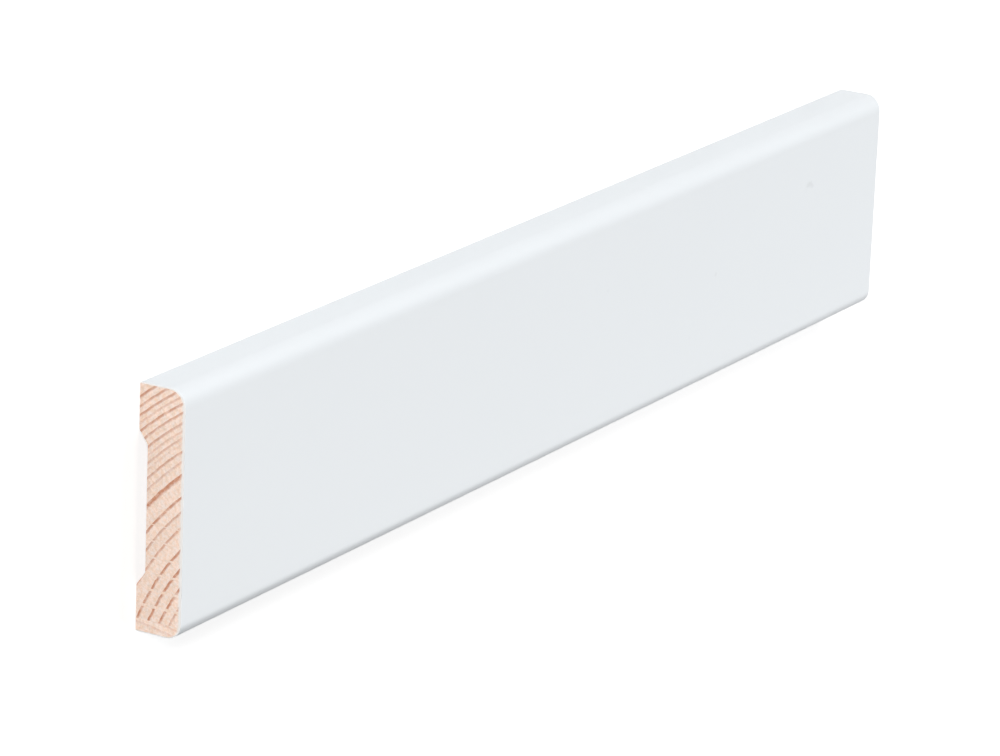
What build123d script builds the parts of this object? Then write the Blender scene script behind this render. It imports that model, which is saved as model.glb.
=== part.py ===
"""Window architrave: one length of pine moulding, lying on its back with its painted face up.

X runs along the moulding, +Y points to the edge with the large round, +Z out of the face.
The origin is on the plane of the back lands, midway along and across. Sizes are in millimetres.
"""

import math
import os

from build123d import *

# The blank that the moulding is planed from
length = 330.0
width = 58.0
thickness = 12.0

# The two arrises of the face: the larger round on the outer edge, the smaller one on the inner edge
outer_round = 4.2
inner_round = 3.8

# The two arrises of the back are only eased
back_ease = 0.3

# The shallow relief planed out of the back, between the two lands that touch the wall and the frame
land_width = 11.0
relief_depth = 2.3
relief_slope = 36.0  # degrees, from the plane of the back to the relief's sloping side
relief_nose = 0.8  # where the sloping side runs into the relief's floor
relief_shoulder = 1.2  # where the sloping side runs out onto the land

# Places that follow from the sizes above
half_width = width / 2
relief_mouth = half_width - land_width
relief_floor = relief_mouth - relief_depth / math.tan(math.radians(relief_slope))


def round_corners(profile, points, radius):
    """The profile with its corners at these points rounded to one radius."""
    corners = [profile.vertices().sort_by_distance((y, z, 0))[0] for y, z in points]
    return fillet(corners, radius=radius)


def back_relief():
    """The trapezoid that the cutter takes out of the back, widest at the back itself."""
    outline = Polyline(
        (-relief_mouth, 0),
        (-relief_floor, relief_depth),
        (relief_floor, relief_depth),
        (relief_mouth, 0),
        close=True,
    )
    return make_face(outline)


def section():
    """The moulding's cross-section, with the width along x and the thickness along y."""
    profile = Rectangle(width, thickness, align=(Align.CENTER, Align.MIN)) - back_relief()
    profile = round_corners(profile, [(half_width, thickness)], outer_round)
    profile = round_corners(profile, [(-half_width, thickness)], inner_round)
    profile = round_corners(profile, [(-half_width, 0), (half_width, 0)], back_ease)
    profile = round_corners(
        profile, [(-relief_floor, relief_depth), (relief_floor, relief_depth)], relief_nose
    )
    return round_corners(profile, [(-relief_mouth, 0), (relief_mouth, 0)], relief_shoulder)


def architrave():
    """The section run out to both square-cut ends."""
    return extrude(Plane.YZ * section(), amount=length / 2, both=True)


os.makedirs("parts", exist_ok=True)
export_step(architrave(), "parts/architrave.step")
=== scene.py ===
"""Window architrave: the looks of a painted pine moulding, built round its CAD model.

The moulding lies on its back along X, with its painted face up and the edge with the large round
towards +Y. Two pieces stand for the CAD solid: the bare timber, whose back and cut ends show, and
the coat of white paint that is wrapped round its face and edges. Sizes are in metres.
"""

import math

import bpy
import numpy as np
from bpy.props import FloatProperty, FloatVectorProperty, PointerProperty
from mathutils import Matrix, Vector


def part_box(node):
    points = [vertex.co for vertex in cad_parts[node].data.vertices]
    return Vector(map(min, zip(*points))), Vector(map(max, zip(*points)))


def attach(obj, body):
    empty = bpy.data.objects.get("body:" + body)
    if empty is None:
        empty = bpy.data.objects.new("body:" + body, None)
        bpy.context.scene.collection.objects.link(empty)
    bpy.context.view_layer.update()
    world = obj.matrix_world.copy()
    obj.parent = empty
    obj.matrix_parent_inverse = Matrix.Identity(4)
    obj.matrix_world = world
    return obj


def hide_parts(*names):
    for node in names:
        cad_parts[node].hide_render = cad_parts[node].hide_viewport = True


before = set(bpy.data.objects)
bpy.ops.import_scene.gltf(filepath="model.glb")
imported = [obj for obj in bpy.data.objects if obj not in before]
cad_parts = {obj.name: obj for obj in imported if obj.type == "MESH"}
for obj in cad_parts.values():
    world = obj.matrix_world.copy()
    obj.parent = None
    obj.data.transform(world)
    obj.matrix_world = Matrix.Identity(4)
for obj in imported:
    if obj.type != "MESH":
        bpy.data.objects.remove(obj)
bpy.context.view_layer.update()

bl_info = {
    "name": "Window architrave",
    "version": (1, 0, 0),
    "blender": (4, 5, 0),
    "location": "3D View > Sidebar > Architrave",
    "description": "Builds a painted pine window architrave round its CAD model",
    "category": "Add Mesh",
}

MM = 0.001
BODY = "root"
CAD_NODE = "architrave"
CAD_LOW, CAD_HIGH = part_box(CAD_NODE)

# Distance in millimetres from the pith to the dark band of each ring, and how dark that band is.
RING_RADII = (
    56.6, 59.3, 61.7, 64.4, 67.2, 70.7, 73.3, 75.8, 79.8, 82.1, 84.0,
    85.4, 86.5, 87.8, 89.3, 91.3, 93.1, 94.5, 95.9, 97.5, 99.3, 101.2,
)
RING_DARKNESS = (
    0.45, 0.62, 0.97, 1.0, 0.9, 0.68, 0.6, 0.88, 2.6, 0.42, 0.7,
    0.18, 0.5, 0.34, 0.65, 0.65, 0.77, 0.38, 0.72, 0.68, 0.83, 0.6,
)

# In millimetres: the first ring's width, how far past its radius a dark band ends, the width of
# the faintest band, how much full darkness widens it, and how far all bands wobble in and out.
FIRST_RING = 2.7
BAND_END = 0.2
BAND_WIDTH = 0.56
BAND_GROWTH = 0.28
BAND_WOBBLE = 0.4

# Radius in millimetres at which an angle round the pith is turned into a length.
STEM_RADIUS = 80.0

# Seed of the rings' tones, and the range in which most of a noise's values lie.
TONE_SEED = 7
NOISE_RANGE = (0.36, 0.64)

# Place from the nick, half length and half width, all in millimetres, and darkness of each smudge.
NICK_SMUDGES = (
    ((-1.8, -0.8), (1.1, 1.1), 0.014),
    ((1.6, -0.8), (0.9, 0.6), 0.06),
)

# The same for the other small marks, with their places from the middle of the face.
FACE_MARKS = (
    ((76.8, -0.3), (0.6, 0.6), 0.05),
    ((21.0, 8.4), (0.6, 0.4), 0.035),
    ((64.4, -14.2), (0.6, 0.6), 0.015),
)

# How far in from the two ends the look of a cut reaches, and how soft the edge of a finger is.
CUT_DEPTH = 0.12 * MM
FINGER_BLUR = 0.05 * MM

# Gap between the floor and the lands of the back, which keeps the two faces apart.
FLOOR_GAP = 0.05 * MM

# How strongly the paint and the wood shine, and how high their finest relief is.
SHINE = 0.3
PAINT_RELIEF = 0.012 * MM
WOOD_RELIEF = 0.02 * MM

# Angle between two faces past which the edge between them is drawn sharp, and the distance
# within which two steps of a mesh count as one.
SHARP_ANGLE = math.radians(30)
SAME_STEP = 1e-6

# Points of each mesh on the small and on the large round, through the timber, and on each eased
# arris and each side of the coat.
TIMBER_ROUNDS = (18, 26)
TIMBER_THROUGH = 36
COAT_ROUNDS = (25, 37)
COAT_EASE = 7
COAT_SIDE = 7

# Each lamp's name, direction from the moulding, distance, width and level.
LAMPS = (
    ("near_lamp", (-0.81, 0.45, 0.37), 3.0, 1.1, 0.645),
    ("far_lamp", (0.38, 0.72, 0.58), 3.0, 1.1, 0.505),
    ("overhead_lamp", (0.63, -0.40, 0.66), 1.6, 0.6, 0.41),
    ("end_lamp", (-0.96, 0.20, 0.20), 3.0, 1.1, 0.11),
)


class MouldingSizes(bpy.types.PropertyGroup):
    """The section that the moulding is planed to, and its length"""

    length: FloatProperty(
        name="Length", description="Length between the two square-cut ends",
        default=CAD_HIGH.x - CAD_LOW.x, unit="LENGTH",
    )
    width: FloatProperty(
        name="Width", description="Width across the face",
        default=CAD_HIGH.y - CAD_LOW.y, unit="LENGTH",
    )
    thickness: FloatProperty(
        name="Thickness", description="Thickness from the back lands to the face",
        default=CAD_HIGH.z - CAD_LOW.z, unit="LENGTH",
    )
    outer_round: FloatProperty(
        name="Outer round", description="Radius of the large round, on the +Y arris of the face",
        default=4.2 * MM, unit="LENGTH",
    )
    inner_round: FloatProperty(
        name="Inner round", description="Radius of the small round, on the -Y arris of the face",
        default=3.8 * MM, unit="LENGTH",
    )
    back_ease: FloatProperty(
        name="Back ease", description="Radius that the two arrises of the back are eased to",
        default=0.3 * MM, unit="LENGTH",
    )
    land_width: FloatProperty(
        name="Land width", description="Width of each flat land of the back",
        default=11 * MM, unit="LENGTH",
    )
    relief_depth: FloatProperty(
        name="Relief depth", description="Depth of the relief between the two lands",
        default=2.3 * MM, unit="LENGTH",
    )
    relief_slope: FloatProperty(
        name="Relief slope", description="Slope of the relief's sides, from the plane of the back",
        default=math.radians(36), subtype="ANGLE",
    )
    relief_nose: FloatProperty(
        name="Relief nose", description="Radius between the relief's sides and its floor",
        default=0.8 * MM, unit="LENGTH",
    )
    relief_shoulder: FloatProperty(
        name="Relief shoulder", description="Radius between the relief's sides and the lands",
        default=1.2 * MM, unit="LENGTH",
    )


class PaintFinish(bpy.types.PropertyGroup):
    """The coat of white paint on the face and edges"""

    film: FloatProperty(
        name="Film", description="Thickness of the dry paint",
        default=0.28 * MM, unit="LENGTH",
    )
    colour: FloatVectorProperty(
        name="Colour", description="Colour of the paint",
        default=(0.80, 0.833, 0.858), subtype="COLOR", size=3, min=0, max=1,
    )
    cut_colour: FloatVectorProperty(
        name="Cut colour", description="Colour of the coat's sawn edge at the two cut ends",
        default=(0.86, 0.84, 0.82), subtype="COLOR", size=3, min=0, max=1,
    )
    feather: FloatProperty(
        name="Feather", description="Thickness that the coat thins out to where it meets the back's lands",
        default=0.02 * MM, unit="LENGTH",
    )
    soak: FloatProperty(
        name="Soak", description="How far the paint has soaked in from the face at the two cut ends",
        default=0.8 * MM, unit="LENGTH",
    )
    edge_shortfall: FloatProperty(
        name="Edge shortfall", description="How much less far the paint has soaked in from the two edges",
        default=0.6 * MM, unit="LENGTH",
    )
    roughness: FloatProperty(
        name="Roughness", description="Roughness of the satin finish",
        default=0.5, min=0, max=1, subtype="FACTOR",
    )
    waviness: FloatProperty(
        name="Waviness", description="How far the coat's surface dips between its high places",
        default=0.02 * MM, unit="LENGTH",
    )
    nick_place: FloatVectorProperty(
        name="Nick", description="Place of the largest nick in the paint of the face",
        default=(126.4 * MM, 12.9 * MM), size=2, unit="LENGTH",
    )
    nick_size: FloatVectorProperty(
        name="Nick size", description="Half the length and half the width of that nick",
        default=(1.5 * MM, 0.8 * MM), size=2, unit="LENGTH",
    )
    nick_depth: FloatProperty(
        name="Nick depth", description="Depth of that nick",
        default=0.05 * MM, unit="LENGTH",
    )
    nick_darkness: FloatProperty(
        name="Nick darkness", description="How much darker than the paint that nick is",
        default=0.09, min=0, max=1, subtype="FACTOR",
    )


class PineTimber(bpy.types.PropertyGroup):
    """The stick of pine under the paint"""

    early_colour: FloatVectorProperty(
        name="Earlywood", description="Colour of the pale wood that grows in spring",
        default=(0.95, 0.776, 0.686), subtype="COLOR", size=3, min=0, max=1,
    )
    mottle_colour: FloatVectorProperty(
        name="Mottle", description="Colour of the darker flecks in the earlywood",
        default=(0.88, 0.668, 0.53), subtype="COLOR", size=3, min=0, max=1,
    )
    late_colour: FloatVectorProperty(
        name="Latewood", description="Colour of the dark band that ends each ring",
        default=(0.57, 0.25, 0.15), subtype="COLOR", size=3, min=0, max=1,
    )
    blush: FloatProperty(
        name="Blush", description="How far the wood turns to orange in some places and to grey in others",
        default=0.045, min=0, max=0.5,
    )
    early_roughness: FloatProperty(
        name="Earlywood roughness", description="Roughness of the pale wood",
        default=0.72, min=0, max=1, subtype="FACTOR",
    )
    late_roughness: FloatProperty(
        name="Latewood roughness", description="Roughness of the dark bands",
        default=0.55, min=0, max=1, subtype="FACTOR",
    )
    pith: FloatVectorProperty(
        name="Pith", description="Place of the stem's pith at the near end, across and up",
        default=(-51.7 * MM, 62.3 * MM), size=2, unit="LENGTH",
    )
    planer_pitch: FloatProperty(
        name="Planer pitch", description="Distance between the ripples that the planer left",
        default=1.3 * MM, unit="LENGTH",
    )
    wear: FloatProperty(
        name="Wear", description="How deep the soft wood of the cut ends lies below the hard bands",
        default=0.03 * MM, unit="LENGTH",
    )
    ridge: FloatProperty(
        name="Ridge", description="About half the width of the ridge that a hard band leaves there",
        default=0.25 * MM, unit="LENGTH",
    )
    wander: FloatProperty(
        name="Wander", description="How far the rings stray aside on their way along the board",
        default=0.05,
    )
    lean: FloatProperty(
        name="Lean", description="How far the stem leans across the board on its way along it",
        default=-0.012,
    )
    ring_radii: FloatVectorProperty(
        name="Ring radii", description="Distance from the pith to the dark band of each ring",
        default=[radius * MM for radius in RING_RADII], size=len(RING_RADII), unit="LENGTH",
    )
    ring_darkness: FloatVectorProperty(
        name="Ring darkness", description="How dark the band of each ring is; past 1 it is wider",
        default=RING_DARKNESS, size=len(RING_DARKNESS),
    )


class FingerJoint(bpy.types.PropertyGroup):
    """The tips of a second stick's fingers, which the cut at the near end has left in the timber"""

    pitch: FloatProperty(
        name="Pitch", description="Distance from one finger to the next",
        default=3.84 * MM, unit="LENGTH",
    )
    first_tip: FloatProperty(
        name="First tip", description="Height of the first finger above the inner edge",
        default=6.55 * MM, unit="LENGTH",
    )
    tip_half_width: FloatProperty(
        name="Tip half width", description="Half the width of a finger's blunt tip",
        default=0.04 * MM, unit="LENGTH",
    )
    reach: FloatProperty(
        name="Reach", description="How far the first finger reaches in from the cut end",
        default=2.4 * MM, unit="LENGTH",
    )
    run_out: FloatProperty(
        name="Run out", description="Distance across the board over which the reach falls to nothing",
        default=24 * MM, unit="LENGTH",
    )
    taper: FloatProperty(
        name="Taper", description="How much each side of a finger widens along its length",
        default=0.13,
    )
    shoulder: FloatProperty(
        name="Shoulder", description="Width of the second stick's plain edge, from the inner edge",
        default=3.1 * MM, unit="LENGTH",
    )
    paleness: FloatProperty(
        name="Paleness", description="How much paler the second stick is",
        default=1.01, min=0,
    )
    contrast: FloatProperty(
        name="Contrast", description="How strongly the second stick's rings show beside the first's",
        default=0.4, min=0,
    )
    pith: FloatVectorProperty(
        name="Pith", description="Place of the second stick's pith, across and up",
        default=(-122 * MM, -10 * MM), size=2, unit="LENGTH",
    )


class StudioStage(bpy.types.PropertyGroup):
    """The floor, the light and the camera"""

    floor_size: FloatProperty(
        name="Floor size", description="Side of the square floor",
        default=12.0, unit="LENGTH",
    )
    floor_tone: FloatProperty(
        name="Floor tone", description="How much of the light that reaches the floor it gives back",
        default=0.6, min=0, max=1,
    )
    floor_lift: FloatProperty(
        name="Floor lift", description="White added to the floor where the camera sees it",
        default=0.68, min=0,
    )
    ambient: FloatProperty(
        name="Ambient", description="Light from all round",
        default=0.1, min=0,
    )
    camera_place: FloatVectorProperty(
        name="Camera place", description="Where the camera stands",
        default=(-1.116245, 0.392363, 0.648853), size=3, subtype="TRANSLATION", unit="LENGTH",
    )
    camera_ahead: FloatVectorProperty(
        name="Camera ahead", description="Direction in which the camera looks",
        default=(0.823334, -0.298503, -0.482714), size=3, subtype="DIRECTION",
    )
    camera_down: FloatVectorProperty(
        name="Camera down", description="Direction that is down in the picture",
        default=(-0.237143, -0.953651, 0.185249), size=3, subtype="DIRECTION",
    )
    camera_lens: FloatProperty(
        name="Lens", description="Focal length of the camera in millimetres",
        default=198.216,
    )
    camera_sensor: FloatProperty(
        name="Sensor", description="Width of the camera's sensor in millimetres",
        default=36.0,
    )
    camera_reach: FloatProperty(
        name="Reach", description="How far away the camera still sees things",
        default=50.0, unit="LENGTH",
    )


def corner(distance, across, up):
    """How far an eased corner has left its flat, by the distance in from its edge.

    It is a quarter of an ellipse: up, less up times the root of one minus the square of the
    share of the half-axis across that is left to run.
    """
    left = np.clip(1 - distance / across, 0, 1)
    return up * (1 - np.sqrt(1 - left**2))


def incline(distance, radius, slope):
    """Rise of a sloping side out of a flat, by the distance past the corner between them.

    The corner is rounded to a radius. The round starts on the flat, before the corner by the radius
    times the tangent of half the slope: first it is a circle's arc, and then the straight slope.
    """
    run = distance + radius * math.tan(slope / 2)
    arc = radius - np.sqrt(radius**2 - np.clip(run, 0, radius * math.sin(slope)) ** 2)
    return np.where(run < radius * math.sin(slope), arc, distance * math.tan(slope))


def face_height(y, sizes, inset):
    """Height of the face and its two rounds across the width, sunk by an inset all round."""
    half_width = sizes.width / 2 - inset
    inner, outer = sizes.inner_round - inset, sizes.outer_round - inset
    drop = corner(y + half_width, inner, inner) + corner(half_width - y, outer, outer)
    return sizes.thickness - inset - drop


def back_height(y, sizes, inset):
    """Height of the back across the width: two lands with eased arrises, and the relief between."""
    half_width = sizes.width / 2
    mouth = half_width - sizes.land_width
    floor = mouth - sizes.relief_depth / math.tan(sizes.relief_slope)
    from_middle = np.abs(y)
    rise = incline(mouth - from_middle, sizes.relief_shoulder, sizes.relief_slope)
    fall = incline(from_middle - floor, sizes.relief_nose, sizes.relief_slope)
    relief = np.where(from_middle > (mouth + floor) / 2, rise, sizes.relief_depth - fall)
    ease = corner(half_width - inset - from_middle, sizes.back_ease - inset, sizes.back_ease)
    return relief + ease


def round_steps(radius, count):
    """Distances in from an edge that divide the quarter circle of a round into equal turns."""
    return radius * (1 - np.cos(np.linspace(0, math.pi / 2, count)))


def steps(low, high, spacing):
    """Evenly spaced values from low to high, no further apart than the spacing."""
    return np.linspace(low, high, max(2, math.ceil((high - low) / spacing) + 1))


def merged(*parts):
    """The values of several arrays in rising order, with those that nearly repeat left out."""
    values = np.sort(np.concatenate(parts))
    return values[np.append(True, np.diff(values) > SAME_STEP)]


def skin(name, block, material):
    """A closed mesh of the six outer sides of a block of points.

    The block is an array laid out as stations along X, steps across and steps through, with x, y
    and z last. Each side is a grid of four-cornered faces, and neighbouring sides share their rims.
    """
    on_skin = np.ones(block.shape[:3], bool)
    on_skin[1:-1, 1:-1, 1:-1] = False
    number = np.cumsum(on_skin).reshape(on_skin.shape) - 1
    outward = (number[-1], number[:, 0], number[:, :, -1])
    inward = (number[0], number[:, -1], number[:, :, 0])
    sides = [*outward, *(side.T for side in inward)]
    corners = [np.stack([s[:-1, :-1], s[1:, :-1], s[1:, 1:], s[:-1, 1:]], -1) for s in sides]
    faces = np.concatenate([c.reshape(-1, 4) for c in corners])
    mesh = bpy.data.meshes.new(name)
    mesh.from_pydata(block[on_skin].tolist(), [], faces.tolist())
    mesh.shade_smooth()
    mesh.set_sharp_from_angle(angle=SHARP_ANGLE)
    mesh.materials.append(material)
    piece = bpy.data.objects.new(name, mesh)
    bpy.context.scene.collection.objects.link(piece)
    return piece


def stand_in(piece):
    """Makes a piece ride on the body and stand for the CAD node, whose own part is hidden."""
    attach(piece, BODY)
    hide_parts(CAD_NODE)


def rings_relief(y, z, timber):
    """Wear of the cut wood between the hard dark bands, from 0 on a band to 1 midway.

    It is one less the sum, over the rings, of a bell curve of the distance from that ring.
    """
    radius = np.hypot(y - timber.pith[0], z - timber.pith[1])
    from_band = radius[..., None] - np.array(timber.ring_radii)
    bells = np.array(timber.ring_darkness) * np.exp(-((from_band / timber.ridge) ** 2))
    return 1 - np.clip(bells.sum(-1), 0, 1)


def timber_block(sizes, paint, timber):
    """Points of the bare timber: the section's columns of height, carried along X.

    Across, the steps divide the rounds into equal turns and crowd together at the relief's
    sides. Through, each column runs in equal steps from the back to the face. The two ends are
    worn in between the hard bands of the rings.
    """
    inset = paint.film
    half_width, half_length = sizes.width / 2 - inset, sizes.length / 2
    inner, outer = sizes.inner_round - inset, sizes.outer_round - inset
    mouth = sizes.width / 2 - sizes.land_width
    relief_side = steps(mouth - 4.5 * MM, mouth + 1 * MM, 0.12 * MM)
    face = steps(inner - half_width, half_width - outer, 0.5 * MM)
    inner_turn, outer_turn = map(round_steps, (inner, outer), TIMBER_ROUNDS)
    y = merged(inner_turn - half_width, half_width - outer_turn, relief_side, -relief_side, face)
    rim = 1 * MM - half_length
    x = merged(steps(-half_length, half_length, 12 * MM), [rim, -rim])
    through = np.linspace(0, 1, TIMBER_THROUGH)
    low, high = back_height(y, sizes, inset), face_height(y, sizes, inset)
    z = low[:, None] + (high - low)[:, None] * through
    block = np.empty((len(x), len(y), len(through), 3))
    block[..., 0] = x[:, None, None]
    block[..., 1] = y[:, None]
    block[..., 2] = z
    wear = timber.wear * rings_relief(y[:, None], z, timber)
    block[0, ..., 0] += wear
    block[-1, ..., 0] -= wear
    return block


def ellipse_arc(centre, across, up, start, stop, count):
    """Points on an ellipse's arc, from one angle to another in degrees, as rows of y and z."""
    angle = np.radians(np.linspace(start, stop, count))
    return np.stack([centre[0] + across * np.cos(angle), centre[1] + up * np.sin(angle)], -1)


def wrap_path(sizes, face_steps, inset, feather):
    """Path of the paint round the section, from the inner land over the face to the outer land.

    Straight runs join four arcs: the two eased arrises of the back and the two rounds of the face.
    """
    half_width, ease = sizes.width / 2, sizes.back_ease
    low_centre = (ease - half_width, ease)
    high_centre = (half_width - ease, ease)
    inner_centre = (sizes.inner_round - half_width, sizes.thickness - sizes.inner_round)
    outer_centre = (half_width - sizes.outer_round, sizes.thickness - sizes.outer_round)
    inner, outer = sizes.inner_round - inset, sizes.outer_round - inset
    inner_count, outer_count = COAT_ROUNDS
    side_steps = np.linspace(0, 1, COAT_SIDE)[1:-1, None]
    low_ease = ellipse_arc(low_centre, ease - inset, ease - feather, -90, -180, COAT_EASE)
    inner_arc = ellipse_arc(inner_centre, inner, inner, 180, 90, inner_count)
    face = np.stack([face_steps, np.full(len(face_steps), sizes.thickness - inset)], -1)
    outer_arc = ellipse_arc(outer_centre, outer, outer, 90, 0, outer_count)
    high_ease = ellipse_arc(high_centre, ease - inset, ease - feather, 0, -90, COAT_EASE)
    inner_side = low_ease[-1] + (inner_arc[0] - low_ease[-1]) * side_steps
    outer_side = outer_arc[-1] + (high_ease[0] - outer_arc[-1]) * side_steps
    return np.concatenate([low_ease, inner_side, inner_arc, face, outer_arc, outer_side, high_ease])


def waves(x, along):
    """A smooth unevenness from 0 to 1, by the places along the moulding and along the coat's path.

    It is a half, plus a large share of a product of slow sines and a small share of a product of
    quick ones. Each divisor is a wave's length in millimetres over a full turn.
    """
    x, along = x / MM, along / MM
    slow = np.sin(x / 19 + 2.1 * np.sin(x / 47)) * np.sin(along / 6 + x / 90)
    quick = np.sin(x / 7 + along / 3) * np.sin(x / 11 - along / 4 + 1)
    return 0.5 + 0.35 * slow + 0.15 * quick


def coat_block(sizes, paint):
    """Points of the coat: a path round the section at two depths of the paint, carried along X.

    The outer layer dips with the waves, its nick is a bell-shaped dent, and at both cut ends it
    is nibbled back by up to half the film's thickness, in much shorter waves.
    """
    half_length = sizes.length / 2
    nick_x, nick_y = paint.nick_place
    nick_long, nick_wide = paint.nick_size
    fine = np.linspace(-2, 2, 17)
    face_low = sizes.inner_round - sizes.width / 2
    face_high = sizes.width / 2 - sizes.outer_round
    face_steps = merged(steps(face_low, face_high, 1.2 * MM), nick_y + nick_wide * fine)[1:-1]
    run_in = np.array([0.15, 0.5, 1, 2]) * MM
    x = merged(
        steps(-half_length, half_length, 2.4 * MM), nick_x + nick_long * fine,
        run_in - half_length, half_length - run_in,
    )
    outer = wrap_path(sizes, face_steps, 0, 0)
    inner = wrap_path(sizes, face_steps, paint.film, paint.feather)
    along = np.append(0, np.cumsum(np.hypot(*np.diff(outer, axis=0).T)))
    share = 1 - paint.waviness / paint.film * waves(x[:, None], along)
    block = np.empty((len(x), len(outer), 2, 3))
    block[..., 0] = x[:, None, None]
    block[:, :, 0, 1:] = inner
    block[:, :, 1, 1:] = inner + (outer - inner) * share[..., None]
    from_nick = np.hypot((x[:, None] - nick_x) / nick_long, (outer[:, 0] - nick_y) / nick_wide)
    on_face = outer[:, 1] > sizes.thickness - 1 * MM
    block[:, :, 1, 2] -= paint.nick_depth * np.exp(-2 * from_nick**2) * on_face
    nibble = paint.film / 2 * waves(along * 9, along * 5)
    block[0, :, 1, 0] += nibble
    block[-1, :, 1, 0] -= nibble[::-1]
    return block


class Wiring:
    """Adds nodes to one shader tree and joins them up."""

    def __init__(self, tree):
        self.tree = tree

    def feed(self, socket, value):
        """Links an output to a socket, or sets the socket's own value."""
        if isinstance(value, bpy.types.NodeSocket):
            self.tree.links.new(value, socket)
        elif value is not None:
            socket.default_value = value

    def node(self, kind, inputs=(), **settings):
        """A new node with these settings, its inputs fed in order or by name."""
        made = self.tree.nodes.new(kind)
        for setting, value in settings.items():
            setattr(made, setting, value)
        pairs = inputs.items() if isinstance(inputs, dict) else enumerate(inputs)
        for key, value in pairs:
            self.feed(made.inputs[key], value)
        return made

    def math(self, operation, *values, clamp=False):
        """The result of one sum on numbers."""
        return self.node("ShaderNodeMath", values, operation=operation, use_clamp=clamp).outputs[0]

    def vector(self, operation, *values):
        """The result of one sum on vectors."""
        made = self.node("ShaderNodeVectorMath", values, operation=operation)
        return made.outputs["Value" if operation == "LENGTH" else "Vector"]

    def parts(self, vector):
        """The x, y and z of a vector."""
        return self.node("ShaderNodeSeparateXYZ", [vector]).outputs

    def joined(self, x, y, z):
        """A vector from its x, y and z."""
        return self.node("ShaderNodeCombineXYZ", [x, y, z]).outputs[0]

    def between(self, value, low, high, start=0.0, end=1.0):
        """A smooth step from start, where the value is at low, to end, where it is at high."""
        made = self.node(
            "ShaderNodeMapRange", [value, low, high, start, end], interpolation_type="SMOOTHSTEP"
        )
        return made.outputs[0]

    def blend(self, share, first, second):
        """A colour between two others, by its share of the second."""
        made = self.node("ShaderNodeMix", data_type="RGBA")
        # The node's colour sockets share their names with those for numbers, so they go by number.
        for place, value in ((0, share), (6, first), (7, second)):
            self.feed(made.inputs[place], value)
        return made.outputs[2]

    def scaled(self, vector, factor):
        """A vector or a colour times a number."""
        return self.vector("SCALE", vector, None, None, factor)

    def millimetres(self, vector):
        """A vector in metres turned into millimetres."""
        return self.vector("MULTIPLY", vector, [1 / MM] * 3)

    def noise(self, place, waves, detail=2.0, roughness=0.5):
        """Smooth noise from 0 to 1, with about this many waves to a unit's length along each axis."""
        stretched = self.vector("MULTIPLY", place, waves)
        inputs = {"Vector": stretched, "Scale": 1.0, "Detail": detail, "Roughness": roughness}
        return self.node("ShaderNodeTexNoise", inputs).outputs[0]

    def swing(self, value, size):
        """A value from 0 to 1 turned into one from minus to plus half this size."""
        return self.math("MULTIPLY", self.math("SUBTRACT", value, 0.5), size)


def rgba(colour):
    """A colour with full alpha, as sockets take it."""
    return (*colour, 1.0)


def effect(name, inputs, outputs):
    """An empty shader node group with named sockets, as its wiring, its inputs and its outputs."""
    tree = bpy.data.node_groups.new(name, "ShaderNodeTree")
    for label, kind, default in inputs:
        socket = tree.interface.new_socket(label, in_out="INPUT", socket_type="NodeSocket" + kind)
        socket.default_value = default
    for label, kind in outputs:
        tree.interface.new_socket(label, in_out="OUTPUT", socket_type="NodeSocket" + kind)
    wiring = Wiring(tree)
    return wiring, wiring.node("NodeGroupInput").outputs, wiring.node("NodeGroupOutput").inputs


def cut_mask(wiring, along, sizes):
    """1 at the two cut ends and 0 between them, by the place along the moulding."""
    from_middle = wiring.math("ABSOLUTE", along)
    return wiring.math("GREATER_THAN", from_middle, sizes.length / 2 - CUT_DEPTH)


def ring_curve(wiring, radius, timber):
    """The ring number of a radius, as a curve through the outer edge of each ring's dark band.

    Past the last ring the number stays midway through it, in pale wood.
    """
    edges = np.array(timber.ring_radii) / MM + BAND_END
    start = edges[0] - FIRST_RING
    span = edges[-1] - start
    made = wiring.node("ShaderNodeFloatCurve")
    curve = made.mapping.curves[0]
    curve.points[0].location = (0, 0)
    curve.points[1].location = (1, 1)
    for count, edge in enumerate(edges[:-1], start=1):
        curve.points.new((edge - start) / span, count / len(edges))
    for point in curve.points:
        point.handle_type = "VECTOR"
    made.mapping.update()
    share = wiring.math("DIVIDE", wiring.math("SUBTRACT", radius, start), span, clamp=True)
    wiring.feed(made.inputs["Value"], share)
    number = wiring.math("MULTIPLY", made.outputs[0], float(len(edges)))
    return wiring.math("MINIMUM", number, len(edges) - 0.5)


def ring_facts(wiring, ring, timber):
    """Each ring's own darkness, share of dark wood and tone, kept as steps of a colour ramp."""
    radii = np.array(timber.ring_radii) / MM
    darkness = np.array(timber.ring_darkness)
    widths = np.diff(radii, prepend=radii[0] - FIRST_RING)
    dark_share = (BAND_WIDTH + BAND_GROWTH * darkness) / widths
    tone = np.random.default_rng(TONE_SEED).uniform(0, 1, len(radii))
    made = wiring.node("ShaderNodeValToRGB")
    ramp = made.color_ramp
    ramp.interpolation = "CONSTANT"
    for step in range(len(radii)):
        stop = ramp.elements[step] if step < 2 else ramp.elements.new(1)
        stop.position = step / len(radii)
        stop.color = (min(darkness[step], 1), min(dark_share[step], 1), tone[step], 1)
    middle = wiring.math("ADD", wiring.math("FLOOR", ring), 0.5)
    wiring.feed(made.inputs[0], wiring.math("DIVIDE", middle, float(len(radii))))
    return wiring.node("ShaderNodeSeparateColor", [made.outputs[0]]).outputs


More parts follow.
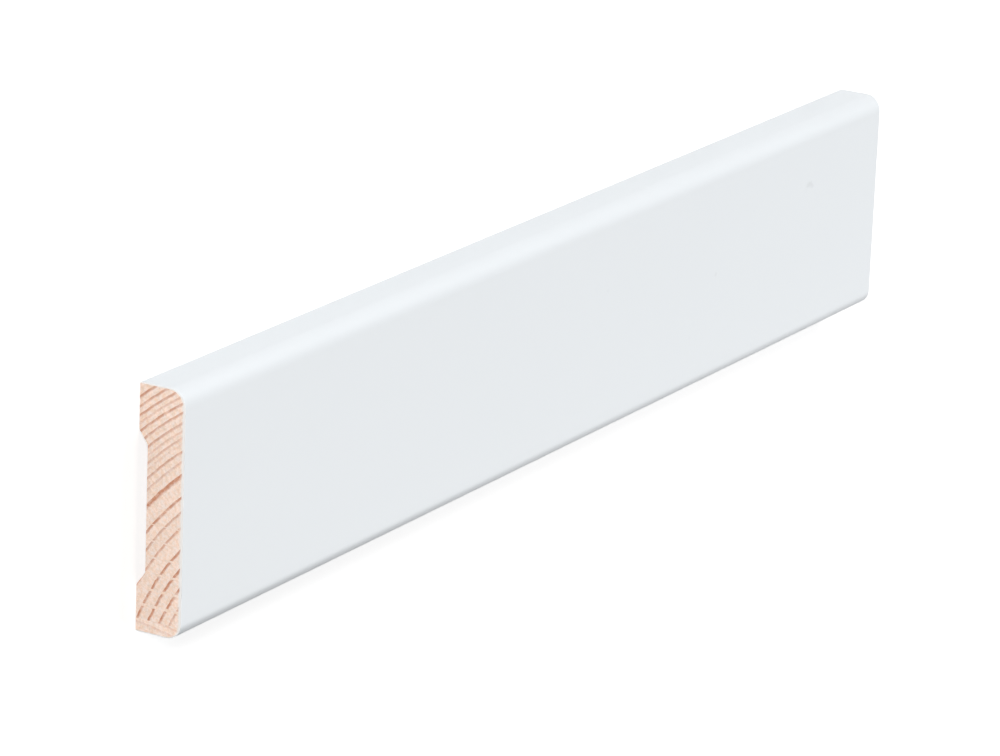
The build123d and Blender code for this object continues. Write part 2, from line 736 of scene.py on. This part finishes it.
def pine_grain_effect(sizes, timber):
    """Pine sawn from a stem: the colour, darkness and height of its wood at any place in it.

    A place is given as its distance from the pith, its way round the stem and its way along it.
    The distance is bent a little more the further the place is from the near end, so the rings
    wander along the board but keep their measured places on the near end. Each noise on the stem
    has its waves to a millimetre along the board, round the stem and out from the pith.
    """
    wiring, given, result = effect(
        "pine_grain",
        [
            ("Position", "Vector", (0, 0, 0)), ("Pith", "Vector", (0, 0, 0)),
            ("Earlywood", "Color", (1, 1, 1, 1)), ("Mottle", "Color", (1, 1, 1, 1)),
            ("Latewood", "Color", (0, 0, 0, 1)), ("Contrast", "Float", 1.0), ("Blush", "Float", 0.0),
        ],
        [("Color", "Color"), ("Latewood", "Float"), ("Height", "Float")],
    )
    place = wiring.millimetres(given["Position"])
    along, across, up = wiring.parts(place)
    pith = wiring.parts(wiring.millimetres(given["Pith"]))
    from_end = wiring.math("ADD", along, sizes.length / 2 / MM)
    slow = wiring.noise(place, (0.011, 0.03, 0.03))
    drift = wiring.math("MULTIPLY", wiring.swing(slow, timber.wander), from_end)
    strayed = wiring.math("ADD", drift, wiring.math("MULTIPLY", from_end, timber.lean))
    side = wiring.math("ADD", wiring.math("SUBTRACT", across, pith[1]), strayed)
    height = wiring.math("SUBTRACT", up, pith[2])
    from_pith = wiring.vector("LENGTH", wiring.joined(0.0, side, height))
    around = wiring.math("MULTIPLY", wiring.math("ARCTAN2", height, side), STEM_RADIUS)
    stem = wiring.joined(along, around, from_pith)

    wobble = wiring.noise(stem, (0.03, 0.45, 0.2), 3.0)
    radius = wiring.math("ADD", from_pith, wiring.swing(wobble, BAND_WOBBLE))
    ring = ring_curve(wiring, radius, timber)
    darkness, dark_share, tone = ring_facts(wiring, ring, timber)[:3]
    # A band starts softly, is full at 0.6 of its width and ends at once, and it is paler in patches.
    within = wiring.math("FRACT", ring)
    band_start = wiring.math("SUBTRACT", 1.0, dark_share)
    band_full = wiring.math("ADD", band_start, wiring.math("MULTIPLY", dark_share, 0.6))
    band = wiring.math("MULTIPLY", wiring.between(within, band_start, band_full), darkness)
    patchy = wiring.noise(stem, (0.05, 0.5, 1.0), 3.0, 0.6)
    band = wiring.math("MULTIPLY", band, wiring.between(patchy, 0.3, 0.6, 0.5, 1.05))
    band = wiring.math("MULTIPLY", band, given["Contrast"], clamp=True)

    # Fibres, rays and each ring's tone shade the wood, and flecks turn it to the mottle's colour.
    fibre = wiring.noise(stem, (0.02, 3.2, 3.2), 3.0, 0.65)
    fleck = wiring.noise(stem, (0.03, 1.1, 1.1), 3.0, 0.55)
    rays = wiring.noise(stem, (0.4, 5.0, 0.25), 2.0, 0.6)
    shade = wiring.math("ADD", wiring.swing(fibre, 0.4), wiring.swing(rays, 0.2))
    shade = wiring.math("ADD", shade, wiring.swing(tone, 0.04))
    level = wiring.math("ADD", 1.0, shade)
    flecked = wiring.between(fleck, *NOISE_RANGE)
    mottled = wiring.blend(flecked, given["Earlywood"], given["Mottle"])
    colour = wiring.blend(band, wiring.scaled(mottled, level), wiring.scaled(given["Latewood"], level))

    # Where the cast is cool the wood loses red and gains blue, and where it is warm the reverse.
    cast = wiring.noise(stem, (0.03, 0.8, 0.8), 3.0, 0.6)
    cool = wiring.math("MULTIPLY", wiring.between(cast, *NOISE_RANGE, -1.0, 1.0), given["Blush"])
    red = wiring.math("SUBTRACT", 1.0, wiring.math("MULTIPLY", cool, 0.7))
    blue = wiring.math("ADD", 1.0, wiring.math("MULTIPLY", cool, 0.6))
    tint = wiring.joined(red, 1.0, blue)
    colour = wiring.vector("MULTIPLY", colour, tint)
    pores = wiring.math("ADD", wiring.swing(fibre, 0.6), wiring.math("MULTIPLY", band, 0.5))
    wiring.feed(result["Color"], colour)
    wiring.feed(result["Latewood"], band)
    wiring.feed(result["Height"], pores)
    return wiring.tree


def finger_tips_effect(sizes, joint):
    """Where the second stick shows: 1 inside its fingers and its shoulder, and 0 elsewhere.

    A finger is a blunt wedge. Its half width grows with the depth that is left to its tip, and
    its reach falls evenly across the board. The fingers repeat at the pitch above the first.
    """
    wiring, given, result = effect(
        "finger_tips", [("Position", "Vector", (0, 0, 0))], [("Share", "Float")]
    )
    along, across, _ = wiring.parts(given["Position"])
    depth = wiring.math("ADD", along, sizes.length / 2)
    height = wiring.math("ADD", across, sizes.width / 2)
    above = wiring.math("SUBTRACT", height, joint.first_tip)
    left = wiring.math("SUBTRACT", 1.0, wiring.math("DIVIDE", above, joint.run_out))
    reach = wiring.math("MULTIPLY", wiring.math("MINIMUM", left, 1.0), joint.reach)
    beyond = wiring.math("SUBTRACT", reach, depth)
    widened = wiring.math("MULTIPLY", beyond, joint.taper)
    count = wiring.math("DIVIDE", above, joint.pitch)
    nearest = wiring.math("MAXIMUM", wiring.math("ROUND", count), 0.0)
    off_centre = wiring.math("ABSOLUTE", wiring.math("SUBTRACT", count, nearest))
    aside = wiring.math("MULTIPLY", off_centre, joint.pitch)
    half_width = wiring.math("ADD", widened, joint.tip_half_width)
    finger_edge = wiring.math("SUBTRACT", half_width, aside)
    in_finger = wiring.between(finger_edge, -FINGER_BLUR, FINGER_BLUR)
    shoulder = wiring.math("ADD", widened, joint.shoulder - joint.taper * joint.reach)
    shoulder_edge = wiring.math("SUBTRACT", shoulder, height)
    in_shoulder = wiring.between(shoulder_edge, -FINGER_BLUR, FINGER_BLUR)
    in_reach = wiring.between(beyond, 0.0, FINGER_BLUR)
    share = wiring.math("MULTIPLY", wiring.math("MAXIMUM", in_finger, in_shoulder), in_reach)
    wiring.feed(result["Share"], share)
    return wiring.tree


def painted_rim_effect(sizes, paint):
    """Where paint has soaked into the cut ends: 1 beside the face, and 0 further in than the soak.

    The distance in from the coat is that of a box with rounded corners. It is the corner's radius,
    less the distance out from the corner's centre, or more by the distance in from it. The box is a
    little wider than the timber, because the two edges have soaked up less.
    """
    wiring, given, result = effect(
        "painted_rim", [("Position", "Vector", (0, 0, 0)), ("Soak", "Float", 0.0)], [("Share", "Float")]
    )
    along, across, up = wiring.parts(given["Position"])
    radius = (sizes.inner_round + sizes.outer_round) / 2 - paint.film
    half_width = sizes.width / 2 - paint.film + paint.edge_shortfall
    aside = wiring.math("SUBTRACT", wiring.math("ABSOLUTE", across), half_width - radius)
    above = wiring.math("SUBTRACT", up, sizes.thickness - paint.film - radius)
    out_aside = wiring.math("MAXIMUM", aside, 0.0)
    out_above = wiring.math("MAXIMUM", above, 0.0)
    outside = wiring.vector("LENGTH", wiring.joined(out_aside, out_above, 0.0))
    inside = wiring.math("MINIMUM", wiring.math("MAXIMUM", aside, above), 0.0)
    inward = wiring.math("SUBTRACT", radius, wiring.math("ADD", outside, inside))
    soaked = wiring.between(inward, 0.0, given["Soak"], 1.0, 0.0)
    share = wiring.math("MULTIPLY", soaked, cut_mask(wiring, along, sizes))
    wiring.feed(result["Share"], share)
    return wiring.tree


def paint_marks(paint):
    """Place, half length and half width in millimetres, and darkness of each mark on the face."""
    nick_x, nick_y = np.array(paint.nick_place) / MM
    nick = ((nick_x, nick_y), np.array(paint.nick_size) / MM, paint.nick_darkness)
    smudges = [((nick_x + x, nick_y + y), size, darkness) for (x, y), size, darkness in NICK_SMUDGES]
    return (nick, *smudges, *FACE_MARKS)


def paint_texture_effect(sizes, paint):
    """The sprayed satin paint: its colour, its roughness and its height.

    Faint lengthwise streaks in its height tell of the fibres under the coat, and a finer grain of
    the spray. Each mark on the face is a grey spot, darkest in its middle, with a ragged edge.
    """
    wiring, given, result = effect(
        "paint_texture",
        [("Position", "Vector", (0, 0, 0)), ("Color", "Color", (1, 1, 1, 1)), ("Roughness", "Float", 0.4)],
        [("Color", "Color"), ("Roughness", "Float"), ("Height", "Float")],
    )
    place = wiring.millimetres(given["Position"])
    streaks = wiring.noise(place, (0.02, 1.1, 1.1), 3.0, 0.55)
    spray = wiring.noise(place, (1.6, 1.6, 1.6))
    cloud = wiring.noise(place, (0.02, 0.05, 0.05))
    mottle = wiring.math("ADD", wiring.swing(cloud, 0.012), wiring.swing(spray, 0.008))
    level = wiring.math("ADD", 1.0, mottle)
    along, across, up = wiring.parts(place)
    face = sizes.thickness / MM
    on_face = wiring.between(up, face - 2, face - 1)
    # A mark is full to 0.4 of its half size and gone at 1.4, but the spray's grain moves its edge.
    for (x, y), (long, wide), darkness in paint_marks(paint):
        away_x = wiring.math("DIVIDE", wiring.math("SUBTRACT", along, x), long)
        away_y = wiring.math("DIVIDE", wiring.math("SUBTRACT", across, y), wide)
        away = wiring.vector("LENGTH", wiring.joined(away_x, away_y, 0.0))
        ragged = wiring.math("ADD", away, wiring.swing(spray, 0.8))
        dot = wiring.between(ragged, 0.4, 1.4, darkness, 0.0)
        level = wiring.math("SUBTRACT", level, wiring.math("MULTIPLY", dot, on_face))
    wiring.feed(result["Color"], wiring.scaled(given["Color"], level))
    roughness = wiring.math("ADD", given["Roughness"], wiring.swing(spray, 0.08))
    wiring.feed(result["Roughness"], roughness)
    wiring.feed(result["Height"], wiring.math("ADD", streaks, wiring.math("MULTIPLY", spray, 0.35)))
    return wiring.tree


def new_material(name):
    """A material with only an output, as the material, its wiring and the output's surface."""
    material = bpy.data.materials.new(name)
    material.use_nodes = True
    material.node_tree.nodes.clear()
    wiring = Wiring(material.node_tree)
    return material, wiring, wiring.node("ShaderNodeOutputMaterial").inputs["Surface"]


def paint_material(sizes, paint):
    """Satin white paint over wood, with the cream colour of its undercoat where it is sawn."""
    material, wiring, surface = new_material("satin_white_paint")
    position = wiring.node("ShaderNodeTexCoord").outputs["Object"]
    inputs = {"Position": position, "Color": rgba(paint.colour), "Roughness": paint.roughness}
    texture = wiring.node("ShaderNodeGroup", inputs, node_tree=paint_texture_effect(sizes, paint)).outputs
    inputs = {"Height": texture["Height"], "Strength": 1.0, "Distance": PAINT_RELIEF}
    normal = wiring.node("ShaderNodeBump", inputs).outputs[0]
    at_cut = cut_mask(wiring, wiring.parts(position)[0], sizes)
    inputs = {
        "Base Color": wiring.blend(at_cut, texture["Color"], rgba(paint.cut_colour)),
        "Roughness": texture["Roughness"], "Normal": normal, "Specular IOR Level": SHINE,
    }
    wiring.feed(surface, wiring.node("ShaderNodeBsdfPrincipled", inputs).outputs[0])
    return material


def timber_material(sizes, timber, joint, paint):
    """Bare planed pine, with a finger joint's tips at the near end and soaked paint at both."""
    material, wiring, surface = new_material("planed_pine")
    position = wiring.node("ShaderNodeTexCoord").outputs["Object"]
    grain = pine_grain_effect(sizes, timber)
    colours = {
        "Earlywood": np.array(timber.early_colour), "Mottle": np.array(timber.mottle_colour),
        "Latewood": np.array(timber.late_colour),
    }
    sticks = []
    for pith, contrast, paleness in ((timber.pith, 1.0, 1.0), (joint.pith, joint.contrast, joint.paleness)):
        inputs = {"Position": position, "Pith": (0, *pith), "Contrast": contrast, "Blush": timber.blush}
        inputs.update({name: rgba(colour * paleness) for name, colour in colours.items()})
        sticks.append(wiring.node("ShaderNodeGroup", inputs, node_tree=grain).outputs)
    main, second = sticks
    tips = finger_tips_effect(sizes, joint)
    share = wiring.node("ShaderNodeGroup", {"Position": position}, node_tree=tips).outputs[0]
    colour = wiring.blend(share, main["Color"], second["Color"])
    open_grain = wiring.math("SUBTRACT", 1.0, wiring.math("MULTIPLY", main["Latewood"], 0.5))
    inputs = {"Position": position, "Soak": wiring.math("MULTIPLY", open_grain, paint.soak)}
    rim = wiring.node("ShaderNodeGroup", inputs, node_tree=painted_rim_effect(sizes, paint)).outputs[0]
    colour = wiring.blend(rim, colour, rgba(paint.cut_colour))
    along = wiring.parts(position)[0]
    ripple = wiring.math("SINE", wiring.math("MULTIPLY", along, 2 * math.pi / timber.planer_pitch))
    height = wiring.math("ADD", main["Height"], wiring.math("MULTIPLY", ripple, 0.2))
    inputs = {"Height": height, "Strength": 1.0, "Distance": WOOD_RELIEF}
    normal = wiring.node("ShaderNodeBump", inputs).outputs[0]
    roughness = wiring.between(
        main["Latewood"], 0.0, 1.0, timber.early_roughness, timber.late_roughness
    )
    inputs = {
        "Base Color": colour, "Roughness": roughness, "Normal": normal, "Specular IOR Level": SHINE,
    }
    wiring.feed(surface, wiring.node("ShaderNodeBsdfPrincipled", inputs).outputs[0])
    return material


def seen_directly(wiring):
    """1 for what the camera sees, also in a gloss or through glass, and 0 for light on the object."""
    path = wiring.node("ShaderNodeLightPath").outputs
    gloss = wiring.math("ADD", path["Is Glossy Ray"], path["Is Transmission Ray"])
    return wiring.math("ADD", path["Is Camera Ray"], gloss, clamp=True)


def floor_material(stage):
    """Matt floor that looks pure white where it is seen, and can be seen through from below."""
    material, wiring, surface = new_material("studio_floor")
    lift = wiring.math("MULTIPLY", seen_directly(wiring), stage.floor_lift)
    inputs = {
        "Base Color": rgba([stage.floor_tone] * 3), "Roughness": 1.0, "Specular IOR Level": 0.0,
        "Emission Color": (1, 1, 1, 1), "Emission Strength": lift,
    }
    matt = wiring.node("ShaderNodeBsdfPrincipled", inputs).outputs[0]
    clear = wiring.node("ShaderNodeBsdfTransparent").outputs[0]
    below = wiring.node("ShaderNodeNewGeometry").outputs["Backfacing"]
    wiring.feed(surface, wiring.node("ShaderNodeMixShader", [below, matt, clear]).outputs[0])
    return material


def lay_floor(stage):
    """A square floor just under the moulding."""
    reach = stage.floor_size / 2
    corners = [(-reach, -reach), (reach, -reach), (reach, reach), (-reach, reach)]
    mesh = bpy.data.meshes.new("floor")
    mesh.from_pydata([(x, y, -FLOOR_GAP) for x, y in corners], [], [(0, 1, 2, 3)])
    mesh.materials.append(floor_material(stage))
    floor = bpy.data.objects.new("floor", mesh)
    bpy.context.scene.collection.objects.link(floor)


def light_the_room(stage):
    """A room that is seen as white, and that lights the object at the ambient level."""
    world = bpy.data.worlds.new("white_room")
    world.use_nodes = True
    world.node_tree.nodes.clear()
    wiring = Wiring(world.node_tree)
    added = wiring.math("MULTIPLY", seen_directly(wiring), 1 - stage.ambient)
    strength = wiring.math("ADD", added, stage.ambient)
    inputs = {"Color": (1, 1, 1, 1), "Strength": strength}
    room = wiring.node("ShaderNodeBackground", inputs).outputs[0]
    wiring.feed(wiring.node("ShaderNodeOutputWorld").inputs["Surface"], room)
    bpy.context.scene.world = world


def hang_lamp(name, toward, distance, size, level):
    """A round soft lamp that lights a surface turned towards it at the given level.

    Its power is the level times the square of pi times the distance.
    """
    data = bpy.data.lights.new(name, "AREA")
    data.shape = "DISK"
    data.size = size
    data.energy = level * (math.pi * distance) ** 2
    lamp = bpy.data.objects.new(name, data)
    away = Vector(toward).normalized()
    turned = away.to_track_quat("Z", "Y").to_matrix().to_4x4()
    lamp.matrix_world = Matrix.Translation(away * distance) @ turned
    bpy.context.scene.collection.objects.link(lamp)


def set_camera(stage):
    """The camera, placed and turned as for the photograph."""
    data = bpy.data.cameras.new("camera")
    data.lens = stage.camera_lens
    data.sensor_width = stage.camera_sensor
    data.clip_end = stage.camera_reach
    camera = bpy.data.objects.new("camera", data)
    ahead = Vector(stage.camera_ahead).normalized()
    right = Vector(stage.camera_down).cross(ahead).normalized()
    turned = Matrix((right, right.cross(ahead), -ahead)).transposed().to_4x4()
    camera.matrix_world = Matrix.Translation(stage.camera_place) @ turned
    bpy.context.scene.collection.objects.link(camera)
    bpy.context.scene.camera = camera


class ARCHITRAVE_OT_timber(bpy.types.Operator):
    """Builds the bare timber of the moulding"""

    bl_idname = "architrave.timber"
    bl_label = "Build timber"

    def execute(self, context):
        sizes, paint = context.scene.architrave_sizes, context.scene.architrave_paint
        timber, joint = context.scene.architrave_timber, context.scene.architrave_joint
        material = timber_material(sizes, timber, joint, paint)
        stand_in(skin("timber", timber_block(sizes, paint, timber), material))
        return {"FINISHED"}


class ARCHITRAVE_OT_paint_coat(bpy.types.Operator):
    """Wraps the coat of paint round the timber's face and edges"""

    bl_idname = "architrave.paint_coat"
    bl_label = "Build paint coat"

    def execute(self, context):
        sizes, paint = context.scene.architrave_sizes, context.scene.architrave_paint
        material = paint_material(sizes, paint)
        stand_in(skin("paint_coat", coat_block(sizes, paint), material))
        return {"FINISHED"}


class ARCHITRAVE_OT_stage(bpy.types.Operator):
    """Sets the floor, the light and the camera"""

    bl_idname = "architrave.stage"
    bl_label = "Set stage"

    def execute(self, context):
        stage = context.scene.architrave_stage
        lay_floor(stage)
        light_the_room(stage)
        for name, toward, distance, size, level in LAMPS:
            hang_lamp(name, toward, distance, size, level)
        set_camera(stage)
        context.scene.view_settings.view_transform = "Standard"
        return {"FINISHED"}


class ARCHITRAVE_PT_tools(bpy.types.Panel):
    """Lists the steps that build the moulding"""

    bl_idname = "ARCHITRAVE_PT_tools"
    bl_label = "Window architrave"
    bl_space_type = "VIEW_3D"
    bl_region_type = "UI"
    bl_category = "Architrave"

    def draw(self, context):
        for operator in OPERATORS:
            self.layout.operator(operator.bl_idname)


OPERATORS = (ARCHITRAVE_OT_timber, ARCHITRAVE_OT_paint_coat, ARCHITRAVE_OT_stage)
SETTINGS = {
    "architrave_sizes": MouldingSizes,
    "architrave_paint": PaintFinish,
    "architrave_timber": PineTimber,
    "architrave_joint": FingerJoint,
    "architrave_stage": StudioStage,
}


def register():
    """Registers the settings, the operators and the panel, and hangs the settings on the scene."""
    for group in (*SETTINGS.values(), *OPERATORS, ARCHITRAVE_PT_tools):
        bpy.utils.register_class(group)
    for name, group in SETTINGS.items():
        setattr(bpy.types.Scene, name, PointerProperty(type=group))


def unregister():
    """Takes back what register has done."""
    for name in SETTINGS:
        delattr(bpy.types.Scene, name)
    for group in (ARCHITRAVE_PT_tools, *OPERATORS, *SETTINGS.values()):
        bpy.utils.unregister_class(group)


def main():
    """Builds the pieces and the stage."""
    register()
    bpy.ops.architrave.timber()
    bpy.ops.architrave.paint_coat()
    bpy.ops.architrave.stage()
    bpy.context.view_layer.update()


if __name__ == "__main__":
    main()
